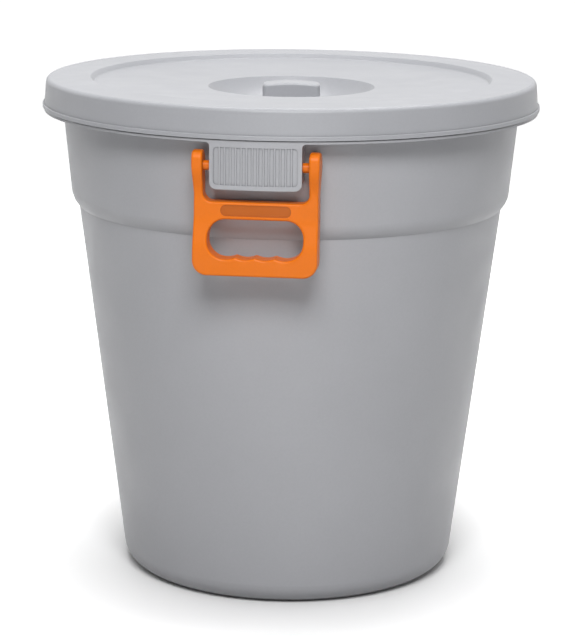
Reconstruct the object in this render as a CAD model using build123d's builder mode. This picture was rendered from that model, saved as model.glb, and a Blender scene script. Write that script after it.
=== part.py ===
from build123d import *
import os
from math import cos, radians, sin, sqrt

# A round plastic bin with a lift-off lid and two swinging carry handles, in millimetres.
# It stands on Z = 0 with its axis on Z, and its front handle faces -Y.
os.makedirs("parts", exist_ok=True)

# Driving dimensions: the whole bin
overall_height = 543.0
lip_radius = 270.0
wall = 3.0
rim_wall = 2.6
lid_wall = 2.7
bite = 1.0                     # how far a web or wall is sunk into the one that it joins

# The bin's lower wall, its rounded foot and its raised base
wall_radius_at_floor = 180.6
wall_slope = 0.125
foot_corner = 25.0
base_rise = 6.0
foot_inner_radius = 151.0
foot_rib_radius = 152.5         # where the floor inside steps up beside the foot
foot_bevel = 4.0

# The shoulder step and the wider collar above it
step_bottom = 405.0
step_height = 15.0
collar_radius = 239.2
collar_slope = 0.099
step_inside_lift = 2.0
step_crease_round = 1.5

# The rim: a gutter section, open below, with a ledge under the lid's lip
lid_seat_gap = 0.3
flange_top_radius = 261.8
flange_bottom_radius = 264.8
ledge_radius = 268.2
ledge_top = 510.5
ledge_bottom = 508.0
rim_bevel = 1.5
gusset_count = 12
gusset_thickness = 2.0
gusset_bottom = 514.0

# The two ribbed tabs that carry the handles
tab_width = 93.0
tab_bottom = 461.0
tab_corner = 7.0
tab_flare = 4.5
tab_flare_round = 4.2
field_width = 85.0
field_bottom = 465.5
field_top = 503.5
field_corner = 4.0
field_depth = 1.2
rib_count = 14
rib_pitch = 5.55
rib_radius = 1.3
rib_sink = 0.2

# The handle pins and the holes that they turn in
pin_radius = 5.0
pin_clearance = 0.08
pin_offset = 256.0
pin_height = 483.5
pin_reach = 12.5
pin_chamfer = 1.0

# The handle, seen from the front
ear_outer = 64.5
ear_inner = 53.5
ear_top = 499.0
handle_half_width = 63.5
handle_bottom = 373.5
handle_corner = 15.0
waist_half_width = 62.8
waist_height = 455.0
crossbar_top = 447.5
crossbar_round = 9.0
grip_half_width = 48.5
grip_top = 429.7
grip_bottom = 390.6
grip_round = 18.0
finger_pitch = 20.0
finger_depth = 2.4
finger_round = 4.0
label_width = 71.0
label_height = 11.5
label_middle = 439.0
label_depth = 0.8

# The handle, seen from the side, as distances out from the bin's axis
knuckle_radius = 11.0
knuckle_round = 9.0
knuckle_back_bevel = 8.0       # clears the collar when the handle swings up
arm_front = 260.5
arm_back = pin_offset - knuckle_radius
grip_front = 268.8
grip_back = 249.0
grip_lean_height = 402.0       # the grip's section leans back from here to the arms
arm_low_height = 431.0
arm_high_height = 459.0
side_bend = 40.0
handle_edge = 2.4
sharp_turn = 20.0              # edges that turn by more than this, in degrees, are rounded

# The handle's hollow back and its cross ribs
core_wall = 3.6
core_skin = 3.2
core_top = 452.0
core_rib = 2.0
core_rib_pitch = 20.0

# The lid
lid_turn = 7.5                 # the lid lies turned by this much, in degrees
lid_corner = 5.0
skirt_top_radius = 265.6
skirt_bottom_radius = 267.9
lip_bottom = 511.5
lip_height = 4.5
lip_round = 0.9
lip_inner_radius = 265.8
border_inner_radius = 218.0
panel_radius = 214.0
panel_edge_height = 537.5
panel_lap = 1.6
panel_round = 2.0
dish_radius = 90.5
dish_rim_height = 532.0
dish_depth = 30.0
dish_flat = 38.0
dish_lap = 2.4
bar_length = 62.5
bar_width = 28.0
bar_crest = 537.5
bar_shoulder = 535.0
bar_corner = 5.0
bar_edge = 3.0

rim_top = overall_height - lid_wall - lid_seat_gap
gutter_top = rim_top - rim_wall
step_top = step_bottom + step_height


def wall_radius(height):
    """Outer radius of the lower wall at a height."""
    return wall_radius_at_floor + wall_slope * height


def collar_outer(height):
    """Outer radius of the collar at a height."""
    return collar_radius + collar_slope * (height - step_top)


def flange_outer(height):
    """Outer radius of the rim's flange at a height above its ledge."""
    rise = (height - ledge_top) / (rim_top - ledge_top)
    return flange_bottom_radius + (flange_top_radius - flange_bottom_radius) * rise


def corners(sketch, *points):
    """The corners of a sketch nearest to the given points."""
    return [sketch.vertices().sort_by_distance(point)[0] for point in points]


# One thin web inside the rim's gutter, which ties the flange to the collar
with BuildPart() as gusset:
    with BuildSketch(Plane.XZ):
        with BuildLine():
            Polyline(
                (collar_outer(gutter_top) - bite, gutter_top + bite),
                (flange_outer(gutter_top) - rim_wall + bite, gutter_top + bite),
                (flange_outer(gusset_bottom) - rim_wall + bite, gusset_bottom),
                (collar_outer(gusset_bottom) - bite, gusset_bottom),
                close=True,
            )
        make_face()
    extrude(amount=gusset_thickness / 2, both=True)

# The front tab: a curved apron that hangs from the rim's ledge
with BuildPart() as tab:
    with BuildSketch(Plane.XZ) as tab_outline:
        with BuildLine():
            Polyline(
                (-tab_width / 2, tab_bottom),
                (tab_width / 2, tab_bottom),
                (tab_width / 2, ledge_bottom),
                (tab_width / 2 + tab_flare, ledge_bottom),
                (tab_width / 2 + tab_flare, ledge_top),
                (-tab_width / 2 - tab_flare, ledge_top),
                (-tab_width / 2 - tab_flare, ledge_bottom),
                (-tab_width / 2, ledge_bottom),
                close=True,
            )
        make_face()
        fillet(corners(tab_outline, (-tab_width / 2, tab_bottom), (tab_width / 2, tab_bottom)), tab_corner)
        flares = corners(tab_outline, (-tab_width / 2, ledge_bottom), (tab_width / 2, ledge_bottom))
        fillet(flares, tab_flare_round)
    extrude(amount=lip_radius)
    with BuildSketch(Plane.XZ):
        with Locations((ledge_radius - rim_wall / 2, (tab_bottom + ledge_top) / 2)):
            Rectangle(rim_wall, ledge_top - tab_bottom)
    revolve(axis=Axis.Z, mode=Mode.INTERSECT)

# The two walls behind the apron, which run back to the collar and hold the pins
with BuildPart() as tab_sides:
    side_bottom = tab_bottom + tab_corner
    with BuildSketch(Plane.XZ):
        for side in (-1, 1):
            with Locations((side * (tab_width - rim_wall) / 2, (side_bottom + rim_top) / 2)):
                Rectangle(rim_wall, rim_top - side_bottom)
    extrude(amount=lip_radius)
    with BuildSketch(Plane.XZ):
        with BuildLine():
            Polyline(
                (collar_outer(tab_bottom) - bite, tab_bottom),
                (ledge_radius - bite, tab_bottom),
                (ledge_radius - bite, ledge_top - bite),
                (flange_outer(ledge_top) - bite, ledge_top),
                (flange_outer(gutter_top + bite) - bite, gutter_top + bite),
                (collar_outer(gutter_top + bite) - bite, gutter_top + bite),
                close=True,
            )
        make_face()
    revolve(axis=Axis.Z, mode=Mode.INTERSECT)

# The shallow field on the tab's face, in which the ribs stand
with BuildPart() as tab_field:
    with BuildSketch(Plane.XZ.offset(pin_offset)):
        with Locations((0, (field_bottom + field_top) / 2)):
            RectangleRounded(field_width, field_top - field_bottom, field_corner)
    extrude(amount=lip_radius - pin_offset)
    Cylinder(ledge_radius - field_depth, 2 * overall_height, mode=Mode.SUBTRACT)

# The bin: one moulding, turned from its section, with its gussets and tabs
with BuildPart() as bin_body:
    with BuildSketch(Plane.XZ) as section:
        with BuildLine():
            Polyline(
                (0, base_rise),
                (foot_inner_radius - foot_bevel, base_rise),
                (foot_inner_radius, 0),
                (wall_radius(0), 0),
                (wall_radius(step_bottom), step_bottom),
            )
            TangentArc(
                (collar_radius, step_top),
                (wall_radius(step_bottom), step_bottom),
                tangent=(-collar_slope, -1),
            )
            Polyline(
                (collar_radius, step_top),
                (collar_outer(gutter_top), gutter_top),
                (flange_outer(gutter_top) - rim_wall, gutter_top),
                (flange_outer(ledge_top) - rim_wall, ledge_top + bite),
                (ledge_radius - rim_wall, ledge_bottom),
                (ledge_radius, ledge_bottom),
                (ledge_radius, ledge_top),
                (flange_bottom_radius, ledge_top),
                (flange_top_radius, rim_top),
                (collar_outer(rim_top) - wall, rim_top),
                (collar_radius - wall, step_top + step_inside_lift),
            )
            TangentArc(
                (collar_radius - wall, step_top + step_inside_lift),
                (wall_radius(step_bottom) - wall, step_bottom + step_inside_lift),
                tangent=(-collar_slope, -1),
            )
            Polyline(
                (wall_radius(step_bottom) - wall, step_bottom + step_inside_lift),
                (wall_radius(wall) - wall, wall),
                (foot_rib_radius, wall),
                (foot_rib_radius - foot_bevel, base_rise + wall),
                (0, base_rise + wall),
                (0, base_rise),
            )
        make_face()
        fillet(corners(section, (wall_radius(0), 0)), foot_corner)
        fillet(corners(section, (wall_radius(wall) - wall, wall)), foot_corner - wall)
        fillet(corners(section, (wall_radius(step_bottom), step_bottom)), step_crease_round)
        chamfer(corners(section, (flange_top_radius, rim_top)), rim_bevel)
    revolve(axis=Axis.Z)
    rib_circle = ledge_radius - field_depth - rib_sink
    for turn in (0, 180):
        facing = -cos(radians(turn))
        with Locations(Location((0, 0, 0), (0, 0, turn))):
            add(tab.part)
            add(tab_sides.part)
            add(tab_field.part, mode=Mode.SUBTRACT)
        for rib in range(rib_count):
            across = (rib - (rib_count - 1) / 2) * rib_pitch
            outward = facing * sqrt(rib_circle**2 - across**2)
            with Locations((across, outward, (field_bottom + field_top) / 2)):
                Cylinder(rib_radius, field_top - field_bottom + bite)
        with Locations(Location((0, facing * pin_offset, pin_height), (0, 90, 0))):
            Cylinder(pin_radius + pin_clearance, tab_width + tab_corner, mode=Mode.SUBTRACT)
    with PolarLocations(0, gusset_count, start_angle=180 / gusset_count):
        add(gusset.part)
bin_body.part.label = "bin_body"
export_step(bin_body.part, "parts/bin_body.step")

# The lid: a disc with a sunk panel, a dish at its middle, a flared skirt and a thick lip
dish_floor = dish_rim_height - dish_depth
turned_front = Plane(
    origin=(0, 0, 0),
    x_dir=(cos(radians(lid_turn)), sin(radians(lid_turn)), 0),
    z_dir=(sin(radians(lid_turn)), -cos(radians(lid_turn)), 0),
)


def bar_form(inset, low):
    """The lid's bar grip down to a height, or its hollow when inset by the lid's wall."""
    half = bar_length / 2 - inset
    shoulder = (half, bar_shoulder - inset)
    with BuildPart() as form:
        with BuildSketch(turned_front):
            with BuildLine():
                Polyline((-half, bar_shoulder - inset), (-half, low), (half, low), shoulder)
                ThreePointArc(shoulder, (0, bar_crest - inset), (-half, bar_shoulder - inset))
            make_face()
        extrude(amount=bar_width / 2 - inset, both=True)
        fillet(form.edges().filter_by(Axis.Z), bar_corner - inset)
        fillet(form.faces().sort_by(Axis.Z)[-1].edges(), bar_edge - inset / 2)
    return form.part


with BuildPart() as lid:
    with BuildSketch(Plane.XZ) as lid_section:
        rim_of_dish = (dish_radius, dish_rim_height)
        under_rim_of_dish = (dish_radius + dish_lap, dish_rim_height - lid_wall)
        with BuildLine():
            Line((0, dish_floor), (dish_flat, dish_floor))
            TangentArc((dish_flat, dish_floor), rim_of_dish, tangent=(1, 0))
            Polyline(
                rim_of_dish,
                (panel_radius, panel_edge_height),
                (border_inner_radius, overall_height),
                (skirt_top_radius, overall_height),
                (skirt_bottom_radius, lip_bottom + lip_height),
                (lip_radius, lip_bottom + lip_height),
                (lip_radius, lip_bottom),
                (lip_inner_radius, lip_bottom),
                (skirt_top_radius - lid_wall, overall_height - lid_wall),
                (border_inner_radius + panel_lap, overall_height - lid_wall),
                (panel_radius + panel_lap, panel_edge_height - lid_wall),
                under_rim_of_dish,
            )
            TangentArc((dish_flat, dish_floor - lid_wall), under_rim_of_dish, tangent=(1, 0))
            Polyline((dish_flat, dish_floor - lid_wall), (0, dish_floor - lid_wall), (0, dish_floor))
        make_face()
        fillet(corners(lid_section, (skirt_top_radius, overall_height)), lid_corner)
        panel_edge = [(border_inner_radius, overall_height), (panel_radius, panel_edge_height)]
        fillet(corners(lid_section, *panel_edge), panel_round)
        fillet(corners(lid_section, rim_of_dish, (lip_radius, lip_bottom + lip_height)), lip_round)
    revolve(axis=Axis.Z)
    add(bar_form(0, dish_floor - bite))
    add(bar_form(lid_wall, dish_floor - 2 * lid_wall), mode=Mode.SUBTRACT)
lid.part.label = "lid"
export_step(lid.part, "parts/lid.step")


# The handle's grip opening, with a wave of finger rests along its lower edge
crests = [finger_pitch * step for step in (-1, 0, 1)]
crest_height = grip_bottom + finger_depth
wave_end = crests[-1] + finger_pitch / 2
with BuildSketch() as grip_opening:
    with BuildLine():
        Line((-grip_half_width, grip_bottom), (-wave_end, grip_bottom))
        TangentArc((-wave_end, grip_bottom), (crests[0], crest_height), tangent=(1, 0))
        for left, right in zip(crests, crests[1:]):
            ThreePointArc((left, crest_height), ((left + right) / 2, grip_bottom), (right, crest_height))
        TangentArc((wave_end, grip_bottom), (crests[-1], crest_height), tangent=(-1, 0))
        Polyline(
            (wave_end, grip_bottom),
            (grip_half_width, grip_bottom),
            (grip_half_width, grip_top),
            (-grip_half_width, grip_top),
            (-grip_half_width, grip_bottom),
        )
    make_face()
    ends = [(x, z) for x in (-grip_half_width, grip_half_width) for z in (grip_bottom, grip_top)]
    fillet(corners(grip_opening, *ends), grip_round)
    fillet(corners(grip_opening, *[(x, crest_height) for x in crests]), finger_round)

# The handle's outline from the front
with BuildSketch() as handle_outline:
    with BuildLine():
        Polyline(
            (-handle_half_width, handle_bottom),
            (handle_half_width, handle_bottom),
            (waist_half_width, waist_height),
            (ear_outer, pin_height),
            (ear_outer, ear_top),
            (ear_inner, ear_top),
            (ear_inner, crossbar_top),
            (-ear_inner, crossbar_top),
            (-ear_inner, ear_top),
            (-ear_outer, ear_top),
            (-ear_outer, pin_height),
            (-waist_half_width, waist_height),
            close=True,
        )
    make_face()
    for side in (-1, 1):
        waist = [(side * waist_half_width, waist_height), (side * ear_outer, pin_height)]
        fillet(corners(handle_outline, (side * handle_half_width, handle_bottom)), handle_corner)
        fillet(corners(handle_outline, *waist), side_bend)
        fillet(corners(handle_outline, (side * ear_inner, crossbar_top)), crossbar_round)
    add(grip_opening.sketch, mode=Mode.SUBTRACT)

# The hollow in the handle's back: the outline less its walls, up to the foot of the arms
with BuildSketch() as core_outline:
    add(handle_outline.sketch)
    offset(amount=-core_wall, kind=Kind.INTERSECTION)
    with Locations((0, core_top + handle_half_width)):
        Rectangle(2 * ear_outer, 2 * handle_half_width, mode=Mode.SUBTRACT)


def side_front(inset):
    """The handle's front line from the side, from the knuckle down, moved back by an inset."""
    return [
        (inset - pin_offset - knuckle_radius, ear_top),
        (inset - pin_offset - knuckle_radius, pin_height - pin_radius),
        (inset - arm_front, arm_high_height),
        (inset - arm_front, arm_low_height),
        (inset - grip_front, grip_lean_height),
        (inset - grip_front, handle_bottom),
    ]


def sharp_edges(solid):
    """The edges at which two faces of a solid meet at an angle."""
    found = []
    for edge in solid.edges():
        touching = [face for face in solid.faces() if any(edge.is_same(other) for other in face.edges())]
        normals = [face.normal_at(edge @ 0.5) for face in touching]
        if len(normals) == 2 and normals[0].get_angle(normals[1]) > sharp_turn:
            found.append(edge)
    return found


far_back = knuckle_radius - arm_back        # a plane clear behind the handle
through = 2 * (lip_radius + far_back)
with BuildPart() as core:
    with BuildSketch(Plane.XZ.offset(-far_back)):
        add(core_outline.sketch)
    extrude(amount=lip_radius + far_back)
    with BuildSketch(Plane.YZ):
        with BuildLine():
            Polyline(*side_front(core_skin), (far_back, handle_bottom), (far_back, ear_top), close=True)
        make_face()
    extrude(amount=ear_outer, both=True, mode=Mode.INTERSECT)
    upright_ribs = [core_rib_pitch * step for step in (-2, -1, 0, 1, 2)]
    level_ribs = [grip_bottom + core_rib_pitch / 2, grip_top - core_rib_pitch / 2]
    with Locations(*[(x, -arm_back, (handle_bottom + core_top) / 2) for x in upright_ribs]):
        Box(core_rib, through, core_top - handle_bottom, mode=Mode.SUBTRACT)
    with Locations(*[(0, -arm_back, z) for z in level_ribs]):
        Box(2 * ear_outer, through, core_rib, mode=Mode.SUBTRACT)

# The front handle, hanging at rest, with the pins that it turns on moulded to its ears
with BuildPart() as front_handle:
    with BuildSketch(Plane.XZ.offset(-far_back)):
        add(handle_outline.sketch)
    extrude(amount=lip_radius + far_back)
    with BuildSketch(Plane.YZ) as profile:
        rear = [
            (-grip_back, handle_bottom),
            (-grip_back, grip_lean_height),
            (-arm_back, arm_low_height),
            (-arm_back, ear_top),
        ]
        front = side_front(0)
        with BuildLine():
            Polyline(*front, *rear, close=True)
        make_face()
        fillet(corners(profile, front[0]), knuckle_round)
        fillet(corners(profile, *front[1:-1]), side_bend)
        chamfer(corners(profile, rear[-1]), knuckle_back_bevel)
    extrude(amount=ear_outer, both=True, mode=Mode.INTERSECT)
    fillet([edge for edge in sharp_edges(front_handle.part) if edge.center().Y < -pin_offset], handle_edge)
    add(core.part, mode=Mode.SUBTRACT)
    with BuildSketch(Plane.XZ.offset(arm_front - label_depth)):
        with Locations((0, label_middle)):
            RectangleRounded(label_width, label_height, label_height / 2 - label_depth)
    extrude(amount=knuckle_radius, mode=Mode.SUBTRACT)
    for side in (-1, 1):
        middle = side * (ear_inner - pin_reach / 2 + bite / 2)
        with Locations(Location((middle, -pin_offset, pin_height), (0, 90, 0))):
            Cylinder(pin_radius, pin_reach + bite)
    tips = front_handle.edges().filter_by(GeomType.CIRCLE).filter_by(lambda edge: edge.radius == pin_radius)
    chamfer([edge for edge in tips if abs(edge.center().X) < ear_inner - pin_reach / 2], pin_chamfer)
front_handle.part.label = "front_handle"
export_step(front_handle.part, "parts/front_handle.step")

# The rear handle is the same moulding, on the far side
with BuildPart() as rear_handle:
    with Locations(Location((0, 0, 0), (0, 0, 180))):
        add(front_handle.part)
rear_handle.part.label = "rear_handle"
export_step(rear_handle.part, "parts/rear_handle.step")
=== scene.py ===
from math import cos, radians, sin, tau

import bpy
from mathutils import Matrix, Vector

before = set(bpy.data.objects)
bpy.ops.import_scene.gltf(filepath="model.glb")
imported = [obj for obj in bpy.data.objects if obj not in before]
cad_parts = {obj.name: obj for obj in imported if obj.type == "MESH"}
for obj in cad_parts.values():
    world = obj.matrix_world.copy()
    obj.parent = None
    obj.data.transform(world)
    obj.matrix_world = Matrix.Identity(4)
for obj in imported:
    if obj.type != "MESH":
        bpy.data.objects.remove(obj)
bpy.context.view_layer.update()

# The camera: where it stands round the bin, how it looks, and its long lens
CAMERA_AZIMUTH = radians(7.6)
CAMERA_DISTANCE = 2.699
CAMERA_HEIGHT = 0.874
CAMERA_PITCH = radians(12.55)
CAMERA_YAW = radians(-0.04)
CAMERA_ROLL = radians(0.53)
CAMERA_LENS_MM = 140.8
CAMERA_REACH = 200.0
SENSOR_MM = 36.0

# Linear colours of the plastics, how rough they are, and how many grains of texture lie in a metre
BODY_GREY = (0.415, 0.419, 0.442)
BODY_ROUGHNESS = 0.42
# Body and lid are the same plastic; the lid's grey is set a little darker than the body's, as painted shade
LID_GREY = (0.390, 0.396, 0.420)
LID_ROUGHNESS = 0.38
GREY_GRAIN = 1100.0
ORANGE = (0.860, 0.190, 0.004)
ORANGE_ROUGHNESS = 0.33
ORANGE_GRAIN = 1500.0
ORANGE_SHINE = 0.25
PLAIN_SHINE = 0.5

# How the plastics vary: patches to a metre, and how far the colour or the roughness strays
CLOUD_PATCHES = 7.0
CLOUD_STRAY = 0.025
FLECK_PATCHES = 420.0
FLECK_STRAY = 0.015
GLOSS_PATCHES = 24.0
GLOSS_SMOOTHER = 0.04
GLOSS_ROUGHER = 0.05

# Their relief: its height in metres, and how strongly it shows
SINK_PATCHES = 9.0              # slow waves where the plastic shrank as it cooled
SINK_RELIEF = (0.0012, 0.25)
RING_PITCH = 0.01005            # the mould of the lid was turned
RING_RELIEF = (0.00004, 0.5)
RING_WANDER = 0.6               # how far a ring strays from a true circle
GRAIN_RELIEF = (0.00012, 0.5)
WAVE_PHASE = 20.0               # what the wave texture counts for each unit of distance

# Painted shade: the colour is darkened in narrow grooves, where shade falls in them
CREVICE_REACH = 0.005
CREVICE_SHADE_TONE = 0.52
CREVICE_RANGE = (0.35, 0.95)    # from a closed-in place to an open one
CREVICE_SAMPLES = 8

# The bare panel sunk into a handle: its middle's height, half its straight run, half its height
PANEL_Z = 0.439
PANEL_STRAIGHT = 0.0300
PANEL_HALF_HEIGHT = 0.0055
PANEL_EDGE = 0.03               # how soft its edge is, as a share of half its height
PANEL_SHADE_TONE = 0.60               # its floor is painted darker: painted shade where it lies sunk, and partly the tone of its lettering, which is left off

# The studio
FLOOR_HALF = 40.0
FLOOR_DROP = 0.0003             # keeps the floor just clear of the foot that stands on it
FLOOR_ROUGHNESS = 0.9
FLOOR_ALBEDO = 0.42
FLOOR_SEEN = (0.98, 1.50)       # how pale the camera sees the floor at the foot, and clear of the bin
FLOOR_NEAR = (0.16, 0.36)       # the distances from the bin's axis between which the one turns into the other
FLOOR_GAIN = 3.0                # what is added far away, where less light falls
FLOOR_FAR = (1.00, 6.00)        # the distances between which it is added
AMBIENT = (0.12, 0.58)          # the light from all round, before the bin and behind it
AMBIENT_TURN = (0.15, 0.9)      # how far behind, from level with the bin to straight behind it
WHITE = (1.0, 1.0, 1.0, 1.0)

# The soft lamps: name, place, the point that it faces, width, height, watts
LAMPS = (
    ("key_light", (0.35, -2.9, 2.9), (0, 0, 0.4), 1.7, 1.3, 102.0),
    ("top_light", (0.0, 0.4, 2.6), (0, 0, 0.54), 1.8, 1.8, 38.0),
    ("front_light", (0.4, -3.2, 0.4), (0, 0, 0.1), 2.2, 0.7, 9.0),
    ("left_light", (-2.8, 1.0, 1.7), (0, 0, 0.3), 1.8, 1.8, 4.0),
    ("right_light", (2.8, 1.0, 1.7), (0, 0, 0.3), 1.8, 1.8, 4.0),
)


def add_node(tree, kind, **values):
    """A new node with the given sockets set by name."""
    node = tree.nodes.new(kind)
    for name, value in values.items():
        node.inputs[name.replace("_", " ")].default_value = value
    return node


def maths(tree, operation, *values):
    """One step of arithmetic on one or two values, each a number or a socket."""
    node = tree.nodes.new("ShaderNodeMath")
    node.operation = operation
    for socket, value in zip(node.inputs, values):
        if isinstance(value, float):
            socket.default_value = value
        else:
            tree.links.new(value, socket)
    return node.outputs["Value"]


def split(tree, vector):
    """The three parts of a vector."""
    node = tree.nodes.new("ShaderNodeSeparateXYZ")
    tree.links.new(vector, node.inputs["Vector"])
    return node.outputs


def length(tree, vector):
    """How long a vector is."""
    node = tree.nodes.new("ShaderNodeVectorMath")
    node.operation = "LENGTH"
    tree.links.new(vector, node.inputs[0])
    return node.outputs["Value"]


def coordinates(tree, kind):
    """The object's own coordinates, or the direction of a ray in the world."""
    return tree.nodes.new("ShaderNodeTexCoord").outputs[kind]


def remap(tree, value, low, high, source=(0.3, 0.7)):
    """A value carried from its own range to another."""
    start, end = source
    node = add_node(tree, "ShaderNodeMapRange", From_Min=start, From_Max=end, To_Min=low, To_Max=high)
    tree.links.new(value, node.inputs["Value"])
    return node.outputs["Result"]


def noise(tree, place, patches, detail=2.0, roughness=0.5):
    """Noise over the object's own coordinates, with so many patches to a metre."""
    node = add_node(tree, "ShaderNodeTexNoise", Scale=patches, Detail=detail, Roughness=roughness)
    tree.links.new(place, node.inputs["Vector"])
    return node.outputs["Fac"]


def turning_rings(tree, place):
    """Faint rings about the bin's axis, as a turned mould leaves them."""
    scale = tau / (WAVE_PHASE * RING_PITCH)
    wave = add_node(tree, "ShaderNodeTexWave", Scale=scale, Distortion=RING_WANDER, Detail=1.0)
    wave.wave_type = "RINGS"
    wave.rings_direction = "Z"
    tree.links.new(place, wave.inputs["Vector"])
    return wave.outputs["Fac"]


def bump(tree, height, relief, below=None):
    """A bump over another."""
    distance, strength = relief
    node = add_node(tree, "ShaderNodeBump", Strength=strength, Distance=distance)
    tree.links.new(height, node.inputs["Height"])
    if below is not None:
        tree.links.new(below, node.inputs["Normal"])
    return node.outputs["Normal"]


def varied(tree, place, patches, stray, detail):
    """A factor that strays to both sides of one."""
    return remap(tree, noise(tree, place, patches, detail), 1.0 - stray, 1.0 + stray)


def painted_crevice_shade(tree):
    """A factor of painted shade, lower in narrow grooves where shade falls."""
    hollow = add_node(tree, "ShaderNodeAmbientOcclusion", Distance=CREVICE_REACH)
    hollow.samples = CREVICE_SAMPLES
    return remap(tree, hollow.outputs["AO"], CREVICE_SHADE_TONE, 1.0, CREVICE_RANGE)


def sunk_panel_shade(tree, place):
    """A factor lower inside the handle's bare sunk panel: painted shade, partly also standing for its
    lettering.
    """
    x, _, z = split(tree, place)
    away = tree.nodes.new("ShaderNodeCombineXYZ")
    beyond = maths(tree, "SUBTRACT", maths(tree, "ABSOLUTE", x), PANEL_STRAIGHT)
    tree.links.new(maths(tree, "MAXIMUM", beyond, 0.0), away.inputs["X"])
    tree.links.new(maths(tree, "SUBTRACT", z, PANEL_Z), away.inputs["Z"])
    edge = ((1 - PANEL_EDGE) * PANEL_HALF_HEIGHT, (1 + PANEL_EDGE) * PANEL_HALF_HEIGHT)
    return remap(tree, length(tree, away.outputs["Vector"]), PANEL_SHADE_TONE, 1.0, edge)


def moulded_plastic(name, colour, roughness, grain, shine=PLAIN_SHINE, rings=False, panel=False):
    """Satin moulded plastic: a fine grain, slow sink waves, cloudy colour and uneven gloss."""
    material = bpy.data.materials.new(name)
    material.use_nodes = True
    tree = material.node_tree
    shader = tree.nodes["Principled BSDF"]
    shader.inputs["Specular IOR Level"].default_value = shine
    place = coordinates(tree, "Object")

    # the crevice factor paints shade into the grooves
    factors = [varied(tree, place, FLECK_PATCHES, FLECK_STRAY, 2.0), painted_crevice_shade(tree)]
    # the sunk panel's floor gets painted shade, partly standing for its lettering
    if panel:
        factors.append(sunk_panel_shade(tree, place))
    tone = varied(tree, place, CLOUD_PATCHES, CLOUD_STRAY, 3.0)
    for factor in factors:
        tone = maths(tree, "MULTIPLY", tone, factor)
    shade = tree.nodes.new("ShaderNodeMix")
    shade.data_type = "RGBA"
    shade.blend_type = "MULTIPLY"
    shade.inputs["Factor"].default_value = 1.0
    shade.inputs["A"].default_value = (*colour, 1.0)
    tree.links.new(tone, shade.inputs["B"])
    tree.links.new(shade.outputs["Result"], shader.inputs["Base Color"])

    gloss = noise(tree, place, GLOSS_PATCHES, detail=4.0)
    uneven = remap(tree, gloss, roughness - GLOSS_SMOOTHER, roughness + GLOSS_ROUGHER)
    tree.links.new(uneven, shader.inputs["Roughness"])

    relief = bump(tree, noise(tree, place, SINK_PATCHES, detail=1.0), SINK_RELIEF)
    if rings:
        relief = bump(tree, turning_rings(tree, place), RING_RELIEF, relief)
    relief = bump(tree, noise(tree, place, grain, detail=3.0, roughness=0.6), GRAIN_RELIEF, relief)
    tree.links.new(relief, shader.inputs["Normal"])
    return material


def dress(node, material):
    """Gives a CAD node its finish."""
    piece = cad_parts[node]
    piece.data.materials.clear()
    piece.data.materials.append(material)


def ray_white(tree, other, seen):
    """Shows one value to the camera, reflections and glass, and another to the light that falls on things."""
    rays = tree.nodes.new("ShaderNodeLightPath").outputs
    direct = maths(tree, "MAXIMUM", rays["Is Camera Ray"], rays["Is Glossy Ray"])
    clear = maths(tree, "MAXIMUM", direct, rays["Is Transmission Ray"])
    choice = tree.nodes.new("ShaderNodeMix")
    choice.data_type = "RGBA"
    tree.links.new(clear, choice.inputs["Factor"])
    for name, value in (("A", other), ("B", seen)):
        if isinstance(value, tuple):
            choice.inputs[name].default_value = value
        else:
            tree.links.new(value, choice.inputs[name])
    return choice.outputs["Result"]


def make_world():
    """A pale surround that shows as white and lights the bin more from behind."""
    world = bpy.data.worlds.new("studio_surround")
    bpy.context.scene.world = world
    world.use_nodes = True
    tree = world.node_tree
    ambient = remap(tree, split(tree, coordinates(tree, "Generated"))["Y"], *AMBIENT, AMBIENT_TURN)
    tree.links.new(ray_white(tree, ambient, WHITE), tree.nodes["Background"].inputs["Color"])


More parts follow.
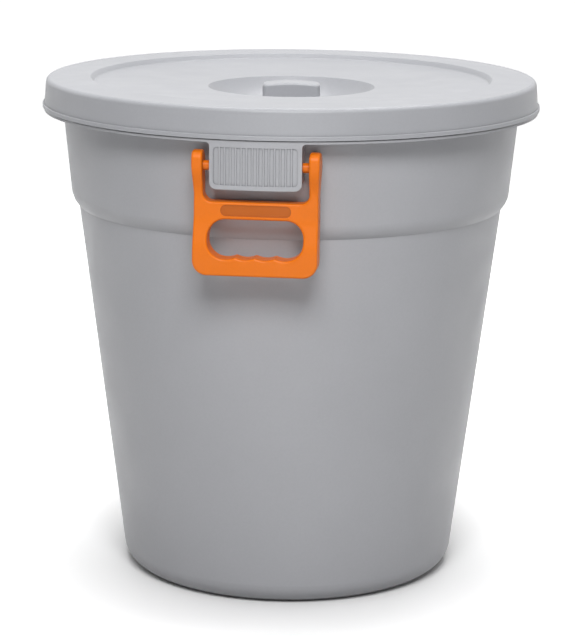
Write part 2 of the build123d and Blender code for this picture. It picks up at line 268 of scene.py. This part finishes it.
def make_floor():
    """A plain pale floor that keeps the bin's soft shadow."""
    mesh = bpy.data.meshes.new("floor")
    near, far = -FLOOR_HALF, FLOOR_HALF
    mesh.from_pydata([(near, near, 0), (far, near, 0), (far, far, 0), (near, far, 0)], [], [(0, 1, 2, 3)])
    floor = bpy.data.objects.new("floor", mesh)
    floor.location.z = -FLOOR_DROP
    bpy.context.scene.collection.objects.link(floor)
    material = bpy.data.materials.new("pale_floor")
    material.use_nodes = True
    tree = material.node_tree
    shader = tree.nodes["Principled BSDF"]
    shader.inputs["Roughness"].default_value = FLOOR_ROUGHNESS
    shader.inputs["Specular IOR Level"].default_value = 0.0
    dull = (FLOOR_ALBEDO, FLOOR_ALBEDO, FLOOR_ALBEDO, 1.0)
    reach = length(tree, coordinates(tree, "Object"))
    beside = remap(tree, reach, *FLOOR_SEEN, FLOOR_NEAR)
    pale = maths(tree, "ADD", beside, remap(tree, reach, 0.0, FLOOR_GAIN, FLOOR_FAR))
    tree.links.new(ray_white(tree, dull, pale), shader.inputs["Base Color"])
    mesh.materials.append(material)


def soft_light(name, place, target, width, height, watts):
    """A large soft lamp that faces a point."""
    data = bpy.data.lights.new(name, "AREA")
    data.shape = "RECTANGLE"
    data.size = width
    data.size_y = height
    data.energy = watts
    lamp = bpy.data.objects.new(name, data)
    lamp.location = place
    lamp.rotation_euler = (Vector(target) - Vector(place)).to_track_quat("-Z", "Y").to_euler()
    bpy.context.scene.collection.objects.link(lamp)


def make_camera():
    """The camera of the photograph: a long lens, a little above the lid, looking down."""
    ahead = cos(CAMERA_PITCH)
    forward = Vector((sin(CAMERA_YAW) * ahead, cos(CAMERA_YAW) * ahead, -sin(CAMERA_PITCH)))
    level = forward.cross(Vector((0, 0, 1))).normalized()
    upright = level.cross(forward)
    right = level * cos(CAMERA_ROLL) + upright * sin(CAMERA_ROLL)
    up = upright * cos(CAMERA_ROLL) - level * sin(CAMERA_ROLL)
    axes = Matrix((right, up, -forward)).transposed().to_4x4()
    data = bpy.data.cameras.new("camera")
    data.sensor_width = SENSOR_MM
    data.lens = CAMERA_LENS_MM
    data.clip_end = CAMERA_REACH
    camera = bpy.data.objects.new("camera", data)
    bpy.context.scene.collection.objects.link(camera)
    turn = Matrix.Rotation(CAMERA_AZIMUTH, 4, "Z")
    camera.matrix_world = turn @ Matrix.Translation((0, -CAMERA_DISTANCE, CAMERA_HEIGHT)) @ axes
    bpy.context.scene.camera = camera


dress("bin_body", moulded_plastic("body_plastic", BODY_GREY, BODY_ROUGHNESS, GREY_GRAIN))
dress("lid", moulded_plastic("lid_plastic", LID_GREY, LID_ROUGHNESS, GREY_GRAIN, rings=True))
orange = moulded_plastic("handle_plastic", ORANGE, ORANGE_ROUGHNESS, ORANGE_GRAIN, ORANGE_SHINE, panel=True)
dress("front_handle", orange)
dress("rear_handle", orange)

make_world()
make_floor()
for lamp in LAMPS:
    soft_light(*lamp)
make_camera()
bpy.context.scene.view_settings.view_transform = "Standard"
